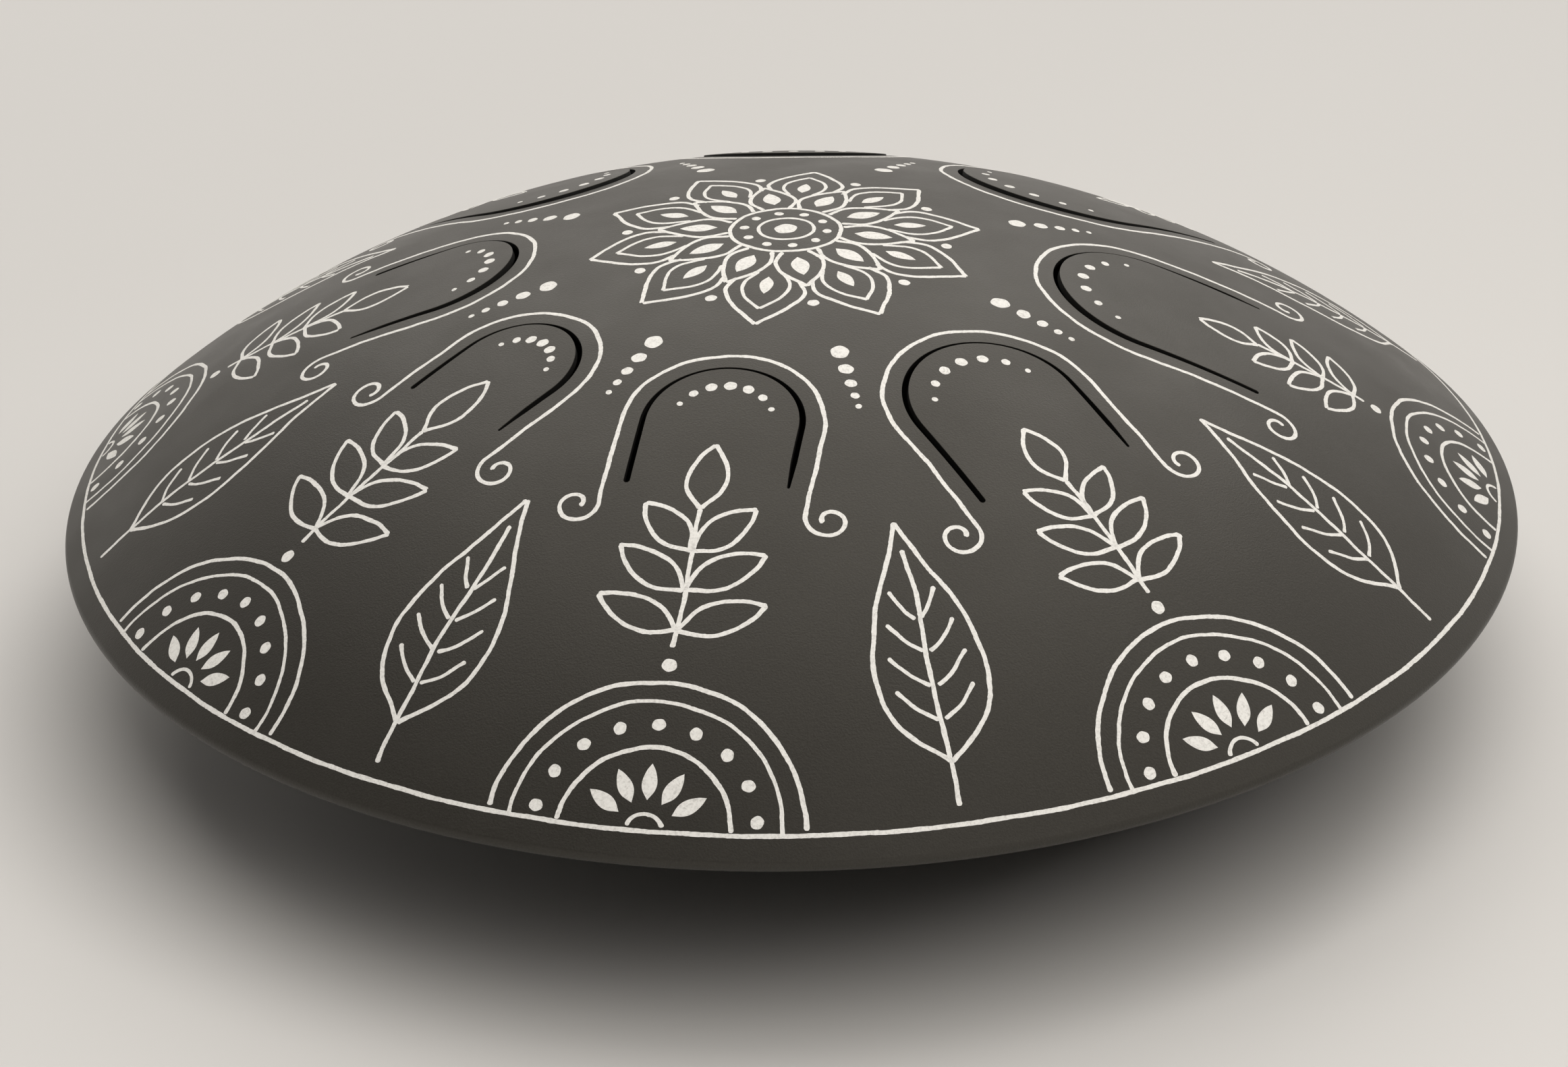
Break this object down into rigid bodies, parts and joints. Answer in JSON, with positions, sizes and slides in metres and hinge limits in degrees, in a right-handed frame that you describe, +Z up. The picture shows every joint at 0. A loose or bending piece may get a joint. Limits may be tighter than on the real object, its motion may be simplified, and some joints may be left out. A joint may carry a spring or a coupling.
{
  "type": "steel tongue drum",
  "caption": "Lens-shaped steel tongue drum: welded dishes with U-shaped tongues cut in the top that ring when struck, a sound port underneath and rubber feet.",
  "frame": {"origin": "centre of the footprint, on the floor under the feet", "axes": "+Z up along the drum's axis, -Y towards the player, +X to the player's right"},
  "size_m": [0.33, 0.33, 0.105],
  "materials": {
    "coat": "fine matte powder coat, warm dark grey",
    "rubber": "matte moulded black rubber",
    "bright_steel": "zinc-plated steel",
    "line_paint": "matte off-white lacquer, drawn on by hand"
  },
  "bodies": {
    "drum": {"upper_shell": "coat", "lower_shell": "coat", "rim_weld": "coat", "foot_1": "rubber", "foot_2": "rubber", "foot_3": "rubber", "foot_washers": "bright_steel", "foot_screws": "bright_steel", "rivet_nuts": "bright_steel"},
    "tongue_1": {"tongue_1": "coat"},
    "tongue_2": {"tongue_2": "coat"},
    "tongue_3": {"tongue_3": "coat"},
    "tongue_4": {"tongue_4": "coat"},
    "tongue_5": {"tongue_5": "coat"},
    "tongue_6": {"tongue_6": "coat"},
    "tongue_7": {"tongue_7": "coat"},
    "tongue_8": {"tongue_8": "coat"}
  },
  "joints": [
    {"name": "tongue_1_flex", "type": "hinge", "parent": "drum", "child": "tongue_1", "pos_m": [-0.01671, -0.09018, 0.08697], "axis": [0.9833, -0.1822, 0], "range_deg": [-0.6, 0.6], "stiffness_Nm_per_rad": 160},
    {"name": "tongue_2_flex", "type": "hinge", "parent": "drum", "child": "tongue_2", "pos_m": [0.05408, -0.08198, 0.08433], "axis": [0.8347, 0.5507, 0], "range_deg": [-0.6, 0.6], "stiffness_Nm_per_rad": 155},
    {"name": "tongue_3_flex", "type": "hinge", "parent": "drum", "child": "tongue_3", "pos_m": [0.10385, -0.01643, 0.08127], "axis": [0.1563, 0.9877, 0], "range_deg": [-0.6, 0.6], "stiffness_Nm_per_rad": 150},
    {"name": "tongue_4_flex", "type": "hinge", "parent": "drum", "child": "tongue_4", "pos_m": [0.0867, 0.07559, 0.07647], "axis": [-0.6572, 0.7537, 0], "range_deg": [-0.6, 0.6], "stiffness_Nm_per_rad": 150},
    {"name": "tongue_5_flex", "type": "hinge", "parent": "drum", "child": "tongue_5", "pos_m": [0.00339, 0.11792, 0.07494], "axis": [-0.9996, 0.0287, 0], "range_deg": [-0.6, 0.6], "stiffness_Nm_per_rad": 150},
    {"name": "tongue_6_flex", "type": "hinge", "parent": "drum", "child": "tongue_6", "pos_m": [-0.07116, 0.08004, 0.08036], "axis": [-0.7473, -0.6644, 0], "range_deg": [-0.6, 0.6], "stiffness_Nm_per_rad": 155},
    {"name": "tongue_7_flex", "type": "hinge", "parent": "drum", "child": "tongue_7", "pos_m": [-0.09579, 0.00662, 0.08524], "axis": [-0.069, -0.9976, 0], "range_deg": [-0.6, 0.6], "stiffness_Nm_per_rad": 160},
    {"name": "tongue_8_flex", "type": "hinge", "parent": "drum", "child": "tongue_8", "pos_m": [-0.07005, -0.05486, 0.08802], "axis": [0.6166, -0.7873, 0], "range_deg": [-0.6, 0.6], "stiffness_Nm_per_rad": 165}
  ]
}
